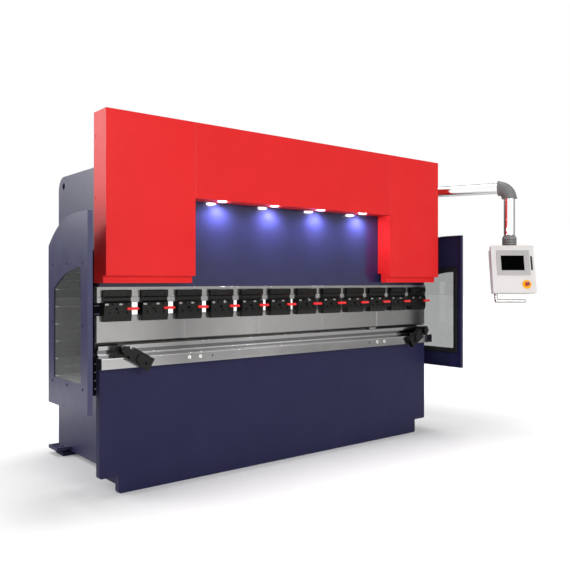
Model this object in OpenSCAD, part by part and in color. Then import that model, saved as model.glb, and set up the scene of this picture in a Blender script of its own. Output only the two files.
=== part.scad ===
// Hydraulic press brake with a row of tool clamps, side guards and a control pendant on a swinging arm.
// X runs along the machine, Y to its rear and Z up.
// The origin is on the floor under the middle of the bend line.
// Pieces that come in a left and a right hand are drawn for the right (+X) side and mirrored.

/* [Machine] */
// Length of the bed plate along the machine
bed_len = 2500; // [2300:10:2700]
// Height of the bed plate's top, where the die block stands
bed_h = 700; // [660:1:740]
// Thickness of the bed, ram and side frame plates
plate_t = 40; // [36:1:42]
// Height of the ram plate
ram_h = 683; // [640:1:720]
// Rear edge of the side frames behind the bend line
frame_rear = 1111; // [1000:1:1250]
// Outer faces of the side frames in from the ends of the bed plate
frame_inset = 219; // [212:1:226]

/* [Tools] */
// Height of the die block
die_h = 59; // [56:1:62]
// Opening of the V groove in the die
die_v = 16; // [12:1:20]
// Punch tip above the die in the stored pose
tool_gap = 6; // [5:0.5:8]
// Height of the punch segments
punch_h = 146; // [142:1:150]
// Open height between the punches and the tool bar
clamp_gap = 65; // [62:1:68]
// Height of the tool bar under the ram
bar_h = 81; // [78:1:84]
// Width of one tool clamp
clamp_w = 150; // [140:1:160]
// Ram travel up from the stored pose
stroke_up = 88; // [80:1:90]
// Ram travel down from the stored pose
stroke_down = 10; // [7:0.5:10]

/* [Covers and guards] */
// Height of the rail that carries the covers
rail_h = 76; // [60:1:90]
// Front face of the covers ahead of the bend line
cover_depth = 134; // [130:1:138]
// Height of the centre cover above the opening
center_h = 405; // [370:1:430]
// Thickness of the cover and guard sheets
sheet_t = 3; // [2.5:0.5:4]
// Outer face of the side guards beyond the ends of the bed plate
guard_gap = 157; // [150:1:165]
// Width of the guards' inward rim
guard_rim = 25; // [20:1:30]

/* [Pendant] */
// Axis of the pendant arm below the top of the side frames
arm_below = 2; // [0:1:20]
// Outer radius of the pendant tubes
tube_r = 38; // [36:0.5:40]
// Swing of the arm out from straight ahead, in degrees
arm_angle = 23.64; // [22:0.02:26]
// Length of the arm from its pivot to the drop tube
arm_len = 1198; // [1180:1:1220]
// Backward lean of the control housing, in degrees
housing_lean = 12.5; // [8:0.5:15]
// Turn of the control housing towards the front left, in degrees
housing_turn = 38.9; // [30:0.1:45]

/* [Fits] */
// Radial clearance of turning and sliding round fits
run_clear = 0.05; // [0.02:0.01:0.1]
// Clearance between flat faces that slide past each other
slide_clear = 0.3; // [0.2:0.05:0.5]

/* [Hidden] */
$fn = 64;
half_len = bed_len / 2;
half_t = plate_t / 2;

// Heights up the bend line, from the bed to the ram
die_top = bed_h + die_h;
tip_z = die_top + tool_gap;
punch_top = tip_z + punch_h;
bar_z = punch_top + clamp_gap;
bar_top = bar_z + bar_h;
ram_headroom = 12;
ram_top = bar_top + ram_h;
frame_top = ram_top + ram_headroom;

// Side frames
frame_out = half_len - frame_inset;
frame_in = frame_out - plate_t;
frame_mid = frame_out - half_t;
foot_h = 22;
throat_y = 320;
throat_r = 60;
throat_below = 60;
throat_above = 23;
throat_low = bed_h - throat_below;
throat_top = bar_top + throat_above;
arm_front = 90;
corner_r = 86;
lift_r = 20;
lift_up = 25;
ear_w = 90;
ear_t = 20;
ear_z = 32;
ear_len = 143;
ear_rear = frame_rear - 68;
ear_hole_r = 11;
ear_hole_out = 42;
ear_hole_pitch = 75;
ear_hole_y = ear_rear - 34;
pad_rear = 219;
pad_y = [150, frame_rear - pad_rear];
pad_len = 130;
pad_x = [frame_in - 10, frame_out + 53];
bed_corner_r = 12;

// Bed plate, front bar and die
notch_w = 104;
notch_h = 90;
front_bar_half = half_len + 14;
front_bar_d = 59;
front_bar_h = 54;
bar_bolt_in = 486;
bar_bolt_pitch = 69;
bar_bolt_x = [half_len - bar_bolt_in - bar_bolt_pitch, half_len - bar_bolt_in];
bar_bolt_z = bed_h - 23;
bar_bolt_r = 11;
bar_bolt_deep = 8;
bar_bolt_proud = 1;
bolt_socket_r = 5;
bolt_socket_d = 5;
bar_front = -half_t - front_bar_d;
bar_hole_pitch = 77;
bar_hole_x = half_len - bar_bolt_in - bar_bolt_pitch - bar_hole_pitch;
bar_hole_r = 6;
bar_hole_d = 12;
die_half = 39;
groove_z = [bed_h + 16, bed_h + 39];
groove_d = 12;

// Ram, punches and clamps
tool_half = half_len + 13;
punch_half = 13;
tip_flat = 1;
segment_count = 5;
segment_gap = 0.4;
segment_chamfer = 3;
segment_len = (2 * tool_half - (segment_count - 1) * segment_gap) / segment_count;
clamp_count = 12;
clamp_pitch = (2 * half_len + 32) / clamp_count;
clamp_face = -45;
clamp_low = punch_top - 30;
clamp_rise = 65;
clamp_high = bar_z + clamp_rise;
jaw_t = 15;
jaw_r = 6;
hook_z = [bar_z + 8, bar_z + 28];
hook_d = 16;
hook_clear = 0.5;
scribe = [3, 1.5];
lip_drop = 7;
lip_z = punch_top - lip_drop;
lip_in = 7;
flute_z = bar_z + 16;
flute_r = 18;
flute_out = 7;
socket_r = 6;
socket_d = 8;
pin_hole_r = 4;
pin_hole_d = 6;
slot_x = [-20, -1];
slot_up = 5;
slot_h = 12;
slot_d = 12;
row_z = bar_z - 8;
row_bolt_x = [-62, 13];
row_bolt_r = 5;
row_bolt_w = 20;
row_bolt_h = 4;
row_hole_x = [-33, 44];
low_hole_x = [-48, 0, 48];
low_hole_z = bar_z - 50;
top_hole_x = [-52, 52];
top_hole_z = bar_z + 42;
lever_x = 52;
lever_z = bar_z - 31;
lever_h = 14;
lever_t = 12;
lever_reach = 58.5;
lever_pin_r = 5;
lever_pin_len = 18;
function clamp_x(i) = (i - (clamp_count - 1) / 2) * clamp_pitch;

// Ram plate, guides and cylinders
ram_half = half_len;
cyl_h = 252;
cyl_low = frame_top - cyl_h;
shoulder_gap = 12;
ram_shoulder = cyl_low - stroke_up - shoulder_gap;
cyl_half = 95;
cyl_room = 36;
ram_neck = frame_mid - cyl_half - cyl_room;
tongue_half = 15;
guide_h = 80;
guide_drop = 70;
slot_spare = 6;
tongue_z = [ram_shoulder - guide_drop - guide_h, ram_shoulder - guide_drop];
slot_z = [tongue_z[0] - stroke_up - slot_spare, tongue_z[1] + stroke_down + slot_spare];
keeper_t = 20;
keeper_half = 35;
cyl_front = -85;
gland_h = 40;
cyl_bore_r = 62.5;
rod_r = 45;
piston_h = 50;
piston_up = 100;
piston_z = cyl_low + piston_up;
bore_spare = 4;
cyl_bore_top = piston_z + piston_h + stroke_up + bore_spare;
cap_r = 80;
cap_h = 48;

// Covers
cover_half = half_len + 16;
cover_front = -cover_depth;
cover_rear = 11;
skirt_gap = 19;
skirt_h = 37;
skirt_step = 35;
skirt_low = bar_top + skirt_gap;
cover_low = skirt_low + skirt_h;
skirt_front = cover_front + skirt_step;
opening_inset = 490;
opening = half_len - opening_inset;
return_clear = 2;
return_rear = -half_t - return_clear;
rise_clear = 7;
rise_front = clamp_face - rise_clear;
rise_top = clamp_high + stroke_up + rise_clear;
rail_clear = 10;
rail_z = frame_top + stroke_up + rail_clear;
rail_gap = 4;
cover_top = rail_z + rail_h + rail_gap + sheet_t;
soffit_z = cover_top - center_h;
rail_d = 60;
rail_half = half_len - 50;
post_y = 150;
screw_edge = 84;
cover_screw_in = 121;
cover_screw_z = [skirt_low + cover_screw_in, (skirt_low + cover_top) / 2, cover_top - cover_screw_in];
return_screw_z = [rise_top + screw_edge, (rise_top + soffit_z) / 2, soffit_z - screw_edge];
cover_screw_y = -8;
return_screw_y = cover_front + 34;
screw_r = 6;
screw_h = 2.5;
lamp_x = [-552, -184, 184, 552];
lamp_y = -80;
lamp_r = 25;
lamp_hole_r = 22;
lamp_h = 20;
lamp_rim_h = 3;

// Side guards
guard_x = half_len + guard_gap;
guard_y = [-245, 255];
guard_below = 237;
guard_h = 951;
guard_z = [bed_h - guard_below, bed_h - guard_below + guard_h];
guard_flat = 135;
guard_bend = guard_y[0] + guard_flat;
guard_r = 525;
window_y = [guard_y[0] + 80, guard_y[1] - 76];
window_up = 136;
window_h = 552;
window_z = [guard_z[0] + window_up, guard_z[0] + window_up + window_h];
window_r = 618;
pane_lap = 36;
pane_t = 5;
screw_out = 21;
guard_screw_y = [window_y[0] - screw_out, (window_y[0] + window_y[1]) / 2, window_y[1] + screw_out];
guard_screw_z = [window_z[1] + screw_out, (window_z[0] + window_z[1]) / 2, window_z[0] - screw_out];
vent_drop = 160;
vent_top = guard_z[1] - vent_drop;
vent_first = 37;
vent_slot = [40, 5];
vent_pitch = [52, 45];
vent_cols = 6;
vent_rows = floor((vent_top - guard_z[0] - vent_first - vent_slot[1]) / vent_pitch[1]) + 1;

// Oil tank and its motor
tank_y = [420, 820];
tank_h = 260;
tank_drop = 112;
tank_z = [frame_top - tank_drop - tank_h, frame_top - tank_drop];
tank_wall = 6;
tank_hole_r = 60;
motor_x = 350;
motor_y = 620;
pump_r = 45;
pump_len = 150;
motor_flange_r = 110;
motor_flange_h = 16;
bell_r = 70;
bell_h = 50;
motor_r = 84;
motor_h = 150;
fin_count = 28;
fin_out = 11;
fin_t = 4;
cowl_h = 40;

// Back gauge
beam_end_gap = 12;
beam_half = frame_in - beam_end_gap;
rail_inset = 279;
gauge_rail_x = beam_half - rail_inset;
gauge_rail_w = 60;
gauge_rail_z = [bed_h - 140, bed_h - 60];
gauge_end = 620;
gauge_plate = 30;
bearing_half = 45;
screw_below = 40;
screw_z = bed_h - screw_below;
bearing_top = 35;
bracket_bar = 20;
gauge_screw_r = 12.5;
journal_r = 10;
beam_y = [300, 360];
beam_up = 52;
beam_top = bed_h + beam_up;
shoe_wall = 20;
shoe_low = bed_h - 100;
finger_x = 400;
finger_w = 60;
finger_tip = 200;
finger_lip = 12;
finger_up = 20;
finger_under = 6;
finger_grip = 30;
gauge_motor_w = 80;
gauge_motor_len = 120;

// Sheet supports at the front
pivot_inset = 100;
pivot_x = half_len - pivot_inset;
carriage_side = [14, 42];
carriage_y = -82;
pivot_up = 38;
pivot_z = bed_h + pivot_up;
pivot_r = 10;
support_t = 28;
support_angle = 30;
support_root = 22;
support_len = 166;
support_w = 70;
support_start = 36;
support_neck = 34;
boss_at = 95;
boss_r = 23;
boss_lobe_r = 5;
boss_lobes = 10;
boss_h = 8;
stop_hole_r = 8;
stop_hole_in = 32;
stop_hole_down = 6;
knob_r = 19;
knob_lobe_r = 7;
knob_lobes = 6;
knob_h = 13;
knob_gap = 1;

// Pendant arm, with its pivot on the right frame
arm_z = frame_top - arm_below;
pivot_side = 119;
arm_pivot = [frame_out + pivot_side, 620];
arm_dir = [sin(arm_angle), -cos(arm_angle)];
hub_r = 50;
hub_over = 12;
hub_top = arm_z + tube_r + hub_over;
hub_low = arm_z - tube_r - hub_over;
pin_r = 30;
bracket_h = 100;
bracket_plate = [12, 120];
elbow_bend = 78;
elbow_r = 50;
elbow_collar = [53, 12];
drop_axis = arm_pivot + arm_len * arm_dir;
drop_len = 259;
drop_plug = 20;
drop_low = arm_z - elbow_bend - drop_len;
tube_wall = 8;
neck_h = 72;
neck_gap = 3;
neck_z = [drop_low - neck_gap - neck_h, drop_low - neck_gap];
neck_r = 50;
neck_dome = 22;
dome_up = (neck_r * neck_r - tube_r * tube_r + neck_dome * neck_dome) / (2 * neck_dome);
dome_r = sqrt(tube_r * tube_r + dome_up * dome_up);
ring_count = 3;
ring_first = 3;
ring_pitch = 16.5;
ring_cut = [3, 5];
collar_in = 8;
collar_h = 58;
spigot_h = 40;
bracket_foot = 40;
bracket_arm = 70;
pin_short = 14;
pin_floor = 10;

// Control housing, measured on its own leaning face
housing_w = 300;
housing_h = 341;
housing_d = [30, 100];
housing_side = 12;
housing_r = 8;
bezel_r = 4;
housing_ahead = 53;
bezel = [232, 180, 3];
bezel_drop = 36;
screen = [162, 107, 2];
screen_at = [-4, 38];
stop_up = 60;
stop_at = [85, stop_up - housing_h];
stop_base_r = 31.5;
stop_base_h = 6;
stop_base_round = 5;
stop_cap_r = 15;
stop_stem_r = 10;
stop_travel = 4;
stop_gap = 2;
stop_cap_h = 16;
stop_dome = 4;
stop_stem_len = 24;
stop_bore = 21;
latch_at = [123, -180];
latch_size = [13, 103, 6];
grip_r = 12;
grip_x = [-122, 76];
grip_y = 44;
grip_drop = 50;

navy = "midnightblue";
red = "red";
steel = "silver";
black = "dimgray";
grey = "gray";
white = "whitesmoke";

// A box between two opposite corners
module block(low, high) {
    translate(low) cube(high - low);
}

// The right hand piece and its mirror image
module both_sides() {
    children();
    mirror([1, 0, 0]) children();
}

module left_hand() {
    mirror([1, 0, 0]) children();
}

// A shape drawn in Y and Z, drawn out along X from a start
module along_x(start, len) {
    translate([start, 0, 0]) rotate([90, 0, 90]) linear_extrude(len) children();
}

// A shape drawn in X and Z, drawn out along Y from a start
module along_y(start, len) {
    translate([0, start + len, 0]) rotate([90, 0, 0]) linear_extrude(len) children();
}

// A round bar along Y
module rod_y(x, y, z, r, len) {
    translate([x, y, z]) rotate([-90, 0, 0]) cylinder(r = r, h = len);
}

// Side frames: one plate with the throat, the rounded rear corner, a lifting hole and a bolt-down ear
module frame_outline() {
    difference() {
        translate([half_t, foot_h]) square([frame_rear - half_t, frame_top - foot_h]);
        translate([0, throat_low]) square([throat_y - throat_r, throat_top - throat_low]);
        translate([0, throat_low + throat_r]) square([throat_y, throat_top - throat_low - 2 * throat_r]);
        for (z = [throat_low + throat_r, throat_top - throat_r])
            translate([throat_y - throat_r, z]) circle(throat_r);
        translate([0, throat_top - throat_r]) square([arm_front, frame_top]);
        translate([frame_rear - corner_r, frame_top - corner_r]) difference() {
            square(corner_r + 1);
            circle(corner_r);
        }
        translate([frame_rear - corner_r, frame_top - corner_r + lift_up]) circle(lift_r);
    }
}

module side_frame() {
    along_x(frame_in, plate_t) frame_outline();
    difference() {
        block([frame_out - 1, ear_rear - ear_len, ear_z], [frame_out + ear_w, ear_rear, ear_z + ear_t]);
        for (y = [ear_hole_y - ear_hole_pitch, ear_hole_y])
            translate([frame_out + ear_hole_out, y, ear_z - 1]) cylinder(r = ear_hole_r, h = ear_t + 2);
    }
}

module side_frame_left() {
    color(navy) left_hand() side_frame();
}

module side_frame_right() {
    color(navy) side_frame();
}

module floor_pads() {
    color(grey) both_sides() for (y = pad_y)
        block([pad_x[0], y, 0], [pad_x[1], y + pad_len, foot_h]);
}

// What a rounded lower corner of the bed plate takes away, with the corner at the origin
module bed_corner() {
    translate([-bed_corner_r, bed_corner_r]) difference() {
        translate([0, -bed_corner_r - 1]) square([bed_corner_r + 1, bed_corner_r + 1]);
        circle(bed_corner_r);
    }
}

// Bed: the front plate, the bar along its top and the die block
module bed_plate() {
    color(navy) along_y(-half_t, plate_t) difference() {
        translate([-half_len, 0]) square([bed_len, bed_h]);
        both_sides() {
            translate([half_len - notch_w, -1]) square([notch_w + 1, notch_h + 1]);
            translate([half_len - notch_w, 0]) bed_corner();
            translate([half_len, notch_h]) bed_corner();
        }
    }
}

module front_bar() {
    color(steel) difference() {
        block([-front_bar_half, bar_front, bed_h - front_bar_h], [front_bar_half, -half_t, bed_h]);
        both_sides() {
            for (x = bar_bolt_x)
                rod_y(x, bar_front - 1, bar_bolt_z, bar_bolt_r + 1, bar_bolt_deep + 1);
            rod_y(bar_hole_x, bar_front - 1, bar_bolt_z, bar_hole_r, bar_hole_d + 1);
        }
    }
}

module front_bar_bolts() {
    color(steel) both_sides() for (x = bar_bolt_x)
        difference() {
            rod_y(x, bar_front - bar_bolt_proud, bar_bolt_z, bar_bolt_r, bar_bolt_deep + bar_bolt_proud);
            rod_y(x, bar_front - bar_bolt_proud - 1, bar_bolt_z, bolt_socket_r, bolt_socket_d + 1);
        }
}

module die_block() {
    color(steel) along_x(-front_bar_half, 2 * front_bar_half) difference() {
        translate([-die_half, bed_h]) square([2 * die_half, die_h]);
        translate([-die_half - 1, groove_z[0]]) square([groove_d + 1, groove_z[1] - groove_z[0]]);
        polygon([[-die_v / 2, die_top], [0, die_top - die_v / 2], [die_v / 2, die_top], [0, die_top + 1]]);
    }
}

// Front covers: bent sheets that hang from the rail at the top
module side_cover() {
    block([opening, cover_front, cover_low], [cover_half, cover_front + sheet_t, cover_top]);
    block([cover_half - sheet_t, cover_front, cover_low], [cover_half, cover_rear, cover_top]);
    block([cover_half - sheet_t, skirt_front, skirt_low], [cover_half, cover_rear, cover_low + 1]);
    block([opening, cover_front, cover_top - sheet_t], [cover_half, cover_rear, cover_top]);
    block([opening, cover_rear - sheet_t, rail_z], [cover_half, cover_rear, cover_top]);
    block([opening, cover_front, cover_low], [cover_half, skirt_front + sheet_t, cover_low + sheet_t]);
    block([opening, skirt_front, skirt_low], [cover_half, skirt_front + sheet_t, cover_low + sheet_t]);
    along_x(opening, sheet_t) {
        translate([cover_front, cover_low]) square([rise_front - cover_front, soffit_z + sheet_t - cover_low]);
        translate([skirt_front, skirt_low]) square([rise_front - skirt_front, soffit_z + sheet_t - skirt_low]);
        translate([cover_front, rise_top]) square([return_rear - cover_front, soffit_z + sheet_t - rise_top]);
    }
}

module cover_left() {
    color(red) left_hand() side_cover();
}

module cover_right() {
    color(red) side_cover();
}

module cover_center() {
    color(red) {
        block([-opening, cover_front, soffit_z], [opening, cover_front + sheet_t, cover_top]);
        block([-opening, cover_front, cover_top - sheet_t], [opening, cover_rear, cover_top]);
        block([-opening, cover_rear - sheet_t, rail_z], [opening, cover_rear, cover_top]);
        difference() {
            block([-opening, cover_front, soffit_z], [opening, return_rear, soffit_z + sheet_t]);
            for (x = lamp_x)
                translate([x, lamp_y, soffit_z - 1]) cylinder(r = lamp_hole_r, h = sheet_t + 2);
        }
    }
}

module lamps() {
    color("aliceblue") for (x = lamp_x) translate([x, lamp_y, soffit_z]) {
        translate([0, 0, -lamp_rim_h]) cylinder(r1 = lamp_r - lamp_rim_h / 2, r2 = lamp_r, h = lamp_rim_h);
        cylinder(r = lamp_hole_r, h = lamp_h);
    }
}

module panel_screws() {
    color(grey) both_sides() {
        for (z = cover_screw_z)
            translate([cover_half, cover_screw_y, z]) rotate([0, 90, 0]) cylinder(r = screw_r, h = screw_h);
        for (z = return_screw_z)
            translate([opening, return_screw_y, z]) rotate([0, -90, 0]) cylinder(r = screw_r, h = screw_h);
        for (y = guard_screw_y, z = guard_screw_z)
            if (y != guard_screw_y[1] || z != guard_screw_z[1])
                translate([guard_x, y, z]) rotate([0, 90, 0]) cylinder(r = screw_r, h = screw_h);
    }
}

// Side guards: a rimmed sheet with a window and a pane, joined to the frame by the slotted rear panel
module guard_shape(inset) {
    rear = guard_y[1] + inset;
    intersection() {
        translate([guard_y[0] + inset, guard_z[0] + inset])
            square([rear - guard_y[0] - inset, guard_z[1] - guard_z[0] - 2 * inset]);
        union() {
            translate([guard_y[0], guard_z[0]]) square([guard_bend - guard_y[0], guard_z[1] - guard_z[0]]);
            translate([guard_y[0], guard_z[0]])
                square([rear - guard_y[0], guard_z[1] - guard_r - guard_z[0]]);
            translate([guard_bend, guard_z[1] - guard_r]) circle(guard_r - inset);
        }
    }
}

module window_shape(lap) {
    intersection() {
        translate([window_y[0] - lap, window_z[0] - lap])
            square([window_y[1] - window_y[0] + 2 * lap, window_z[1] - window_z[0] + 2 * lap]);
        translate([window_y[0], window_z[1] - window_r]) circle(window_r + lap);
    }
}

module guard() {
    along_x(guard_x - sheet_t, sheet_t) difference() {
        guard_shape(0);
        window_shape(0);
    }
    along_x(guard_x - guard_rim, guard_rim) difference() {
        guard_shape(0);
        guard_shape(sheet_t);
    }
}

module guard_left() {
    color(navy) left_hand() guard();
}

module guard_right() {
    color(navy) guard();
}

module guard_panes() {
    color("lightsteelblue", 0.4) both_sides()
        along_x(guard_x - sheet_t - pane_t, pane_t) window_shape(pane_lap);
}

module vent_panels() {
    slots_w = (vent_cols - 1) * vent_pitch[0] + vent_slot[0];
    first_x = (frame_out + guard_x - sheet_t - slots_w) / 2;
    first_z = guard_z[0] + vent_first;
    color(black) both_sides() along_y(guard_y[1] - sheet_t, sheet_t) difference() {
        translate([frame_out, guard_z[0] + sheet_t])
            square([guard_x - sheet_t - frame_out, vent_top - guard_z[0] - sheet_t]);
        for (col = [0:vent_cols - 1], row = [0:vent_rows - 1])
            if (col < vent_cols - 1 || row % 2 == 0)
                translate([first_x + col * vent_pitch[0], first_z + row * vent_pitch[1]]) square(vent_slot);
    }
}

// Drive: cylinders on the frames, the oil tank between them and the motor with its pump
module cylinders() {
    color(grey) both_sides() difference() {
        union() {
            block([frame_mid - cyl_half, cyl_front, cyl_low], [frame_mid + cyl_half, arm_front, frame_top]);
            translate([frame_mid, 0, frame_top]) cylinder(r = cap_r, h = cap_h);
        }
        translate([frame_mid, 0, cyl_low + gland_h])
            cylinder(r = cyl_bore_r, h = cyl_bore_top - cyl_low - gland_h);
        translate([frame_mid, 0, cyl_low - 1]) cylinder(r = rod_r + run_clear, h = gland_h + 2);
    }
}

module piston_rods() {
    color(steel) both_sides() translate([frame_mid, 0, 0]) {
        translate([0, 0, ram_shoulder]) cylinder(r = rod_r, h = piston_z - ram_shoulder);
        translate([0, 0, piston_z]) cylinder(r = cyl_bore_r - run_clear, h = piston_h);
    }
}

module oil_tank() {
    color(navy) difference() {
        block([-frame_in, tank_y[0], tank_z[0]], [frame_in, tank_y[1], tank_z[1]]);
        block([-frame_in + tank_wall, tank_y[0] + tank_wall, tank_z[0] + tank_wall],
              [frame_in - tank_wall, tank_y[1] - tank_wall, tank_z[1] - tank_wall]);
        translate([motor_x, motor_y, tank_z[1] - tank_wall - 1]) cylinder(r = tank_hole_r, h = tank_wall + 2);
    }
}

module pump_motor() {
    color(grey) translate([motor_x, motor_y, tank_z[1]]) {
        translate([0, 0, -pump_len]) cylinder(r = pump_r, h = pump_len + 1);
        cylinder(r = motor_flange_r, h = motor_flange_h);
        cylinder(r = bell_r, h = motor_flange_h + bell_h + 1);
        translate([0, 0, motor_flange_h + bell_h]) {
            cylinder(r = motor_r, h = motor_h + 1);
            for (i = [0:fin_count - 1])
                rotate([0, 0, i * 360 / fin_count]) translate([motor_r - 2, -fin_t / 2, 0])
                    cube([fin_out + 2, fin_t, motor_h + 1]);
            translate([0, 0, motor_h]) cylinder(r = motor_r + fin_out, h = cowl_h);
        }
    }
}

module tie_beam() {
    color(navy) {
        block([-rail_half, cover_rear, rail_z], [rail_half, cover_rear + rail_d, rail_z + rail_h]);
        both_sides() along_x(frame_in, plate_t) {
            translate([cover_rear + rail_d - 1, rail_z]) square([post_y - cover_rear - rail_d + 1, rail_h]);
            translate([arm_front + 2, frame_top]) square([post_y - arm_front - 2, rail_z + rail_h - frame_top]);
        }
    }
}

// Ram guides: a tongue through a slot in the ram, with a keeper plate in front
module ram_guides() {
    guide_z = tongue_z[1] - tongue_z[0];
    color(grey) both_sides() {
        block([frame_in, half_t + slide_clear, tongue_z[0]], [frame_out, arm_front, tongue_z[1]]);
        block([frame_mid - tongue_half, -half_t - slide_clear - 1, tongue_z[0]],
              [frame_mid + tongue_half, half_t + slide_clear + 1, tongue_z[1]]);
        translate([frame_mid - keeper_half, -half_t - slide_clear - keeper_t, tongue_z[0]])
            cube([2 * keeper_half, keeper_t, guide_z]);
    }
}

module ram_plate() {
    color(navy) along_y(-half_t, plate_t) difference() {
        translate([-ram_half, bar_top]) square([2 * ram_half, ram_top - bar_top]);
        both_sides() {
            translate([ram_neck, ram_shoulder]) square([ram_half, ram_top]);
            translate([frame_mid - tongue_half - slide_clear, slot_z[0]])
                square([2 * (tongue_half + slide_clear), slot_z[1] - slot_z[0]]);
        }
    }
}

module tool_bar() {
    color(steel) difference() {
        along_x(-tool_half, 2 * tool_half) difference() {
            translate([-half_t, bar_z]) square([plate_t, bar_h]);
            translate([-half_t - 1, hook_z[1]]) square([scribe[1] + 1, scribe[0]]);
        }
        for (i = [0:clamp_count - 1])
            block([clamp_x(i) - clamp_w / 2 - hook_clear, -half_t - 1, hook_z[0]],
                  [clamp_x(i) + clamp_w / 2 + hook_clear, hook_d - half_t, hook_z[1]]);
    }
}

// Plan of a punch segment, with its four upright edges chamfered
module segment_plan() {
    cut = segment_chamfer;
    polygon([[0, cut - punch_half], [cut, -punch_half], [segment_len - cut, -punch_half],
             [segment_len, cut - punch_half], [segment_len, punch_half - cut], [segment_len - cut, punch_half],
             [cut, punch_half], [0, punch_half - cut]]);
}

module punches() {
    flank_z = tip_z + punch_half - tip_flat;
    color(steel) for (i = [0:segment_count - 1])
        translate([-tool_half + i * (segment_len + segment_gap), 0, 0]) intersection() {
            along_x(0, segment_len)
                polygon([[-punch_half, punch_top], [-punch_half, flank_z], [-tip_flat, tip_z],
                         [tip_flat, tip_z], [punch_half, flank_z], [punch_half, punch_top]]);
            translate([0, 0, tip_z - 1]) linear_extrude(punch_h + 2) segment_plan();
        }
}

// Side view of a clamp: a jaw that stands off the tool bar, a hook in the bar's groove, a fluted front,
// a body under the bar and a tapered lip that holds the punches
module clamp_profile() {
    difference() {
        union() {
            translate([clamp_face, hook_z[0]]) square([jaw_t, clamp_high - jaw_r - hook_z[0]]);
            translate([clamp_face + jaw_r, hook_z[0]]) square([jaw_t - jaw_r, clamp_high - hook_z[0]]);
            translate([clamp_face + jaw_r, clamp_high - jaw_r]) circle(jaw_r);
            translate([clamp_face, hook_z[0]]) square([hook_d - half_t - clamp_face, hook_z[1] - hook_z[0]]);
            translate([clamp_face, bar_z - 1]) square([-half_t - clamp_face, hook_z[1] - bar_z + 1]);
            translate([clamp_face, punch_top]) square([punch_half - clamp_face, clamp_gap]);
            polygon([[clamp_face, punch_top + 1], [clamp_face, lip_z], [clamp_face + lip_in, clamp_low],
                     [-punch_half, clamp_low], [-punch_half, punch_top + 1]]);
        }
        translate([clamp_face - flute_out, flute_z]) circle(flute_r);
    }
}

module clamp_body() {
    difference() {
        along_x(-clamp_w / 2, clamp_w) clamp_profile();
        for (x = top_hole_x)
            rod_y(x, clamp_face - 1, top_hole_z, pin_hole_r, pin_hole_d + 1);
        for (x = row_hole_x)
            rod_y(x, clamp_face - 1, row_z, socket_r, socket_d + 1);
        for (x = low_hole_x)
            rod_y(x, clamp_face - 1, low_hole_z, socket_r, socket_d + 1);
        block([slot_x[0], clamp_face - 1, lever_z + slot_up - slot_h],
              [slot_x[1], clamp_face + slot_d, lever_z + slot_up]);
        rod_y(lever_x, clamp_face - 1, lever_z, lever_pin_r + run_clear, lever_pin_len + 2);
    }
}

module tool_clamps() {
    color(black) for (i = [0:clamp_count - 1])
        translate([clamp_x(i), 0, 0]) clamp_body();
}

module clamp_bolts() {
    side = row_bolt_w / 2 - row_bolt_r;
    color(steel) for (i = [0:clamp_count - 1], x = row_bolt_x)
        translate([clamp_x(i) + x, clamp_face, row_z]) rotate([90, 0, 0]) linear_extrude(row_bolt_h) {
            translate([-side, -row_bolt_r]) square([2 * side, 2 * row_bolt_r]);
            for (end = [-side, side])
                translate([end, 0]) circle(row_bolt_r);
        }
}

module clamp_lever(i) {
    color(red) translate([clamp_x(i - 1) + lever_x, clamp_face - slide_clear, lever_z]) {
        rotate([90, 0, 0]) linear_extrude(lever_t) {
            translate([0, -lever_h / 2]) square([lever_reach - lever_h / 2, lever_h]);
            for (x = [0, lever_reach - lever_h / 2])
                translate([x, 0]) circle(lever_h / 2);
        }
        rod_y(0, -1, 0, lever_pin_r, lever_pin_len + 1);
    }
}

// Back gauge: rails and bearing plates behind the bed, a beam on a screw, and two stop fingers
module gauge_frame() {
    color(navy) difference() {
        union() {
            both_sides() block([gauge_rail_x - gauge_rail_w / 2, half_t, gauge_rail_z[0]],
                               [gauge_rail_x + gauge_rail_w / 2, gauge_end, gauge_rail_z[1]]);
            for (y = [half_t, gauge_end - gauge_plate])
                block([-bearing_half, y, gauge_rail_z[0]],
                      [bearing_half, y + gauge_plate, screw_z + bearing_top]);
            block([-bearing_half, half_t, gauge_rail_z[0]],
                  [bearing_half, gauge_end, gauge_rail_z[0] + bracket_bar]);
        }
        rod_y(0, half_t + 5, screw_z, journal_r + run_clear, gauge_end);
    }
}

module gauge_screw() {
    color(steel) {
        rod_y(0, half_t + 6, screw_z, journal_r, gauge_end - half_t - 8);
        rod_y(0, half_t + gauge_plate + 1, screw_z, gauge_screw_r, gauge_end - half_t - 2 * gauge_plate - 2);
    }
}

module gauge_motor() {
    color(black) block([-gauge_motor_w / 2, gauge_end, screw_z - gauge_motor_w / 2],
                       [gauge_motor_w / 2, gauge_end + gauge_motor_len, screw_z + gauge_motor_w / 2]);
}

module gauge_beam() {
    groove = gauge_rail_w / 2 + slide_clear;
    color(steel) difference() {
        union() {
            block([-beam_half, beam_y[0], gauge_rail_z[1] + slide_clear], [beam_half, beam_y[1], beam_top]);
            both_sides() block([gauge_rail_x - groove - shoe_wall, beam_y[0], shoe_low],
                               [gauge_rail_x + groove + shoe_wall, beam_y[1], gauge_rail_z[1] + 1]);
        }
        both_sides() block([gauge_rail_x - groove, beam_y[0] - 1, shoe_low - 1],
                           [gauge_rail_x + groove, beam_y[1] + 1, gauge_rail_z[1] + slide_clear]);
        rod_y(0, beam_y[0] - 1, screw_z, gauge_screw_r + run_clear, beam_y[1] - beam_y[0] + 2);
    }
}

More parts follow.
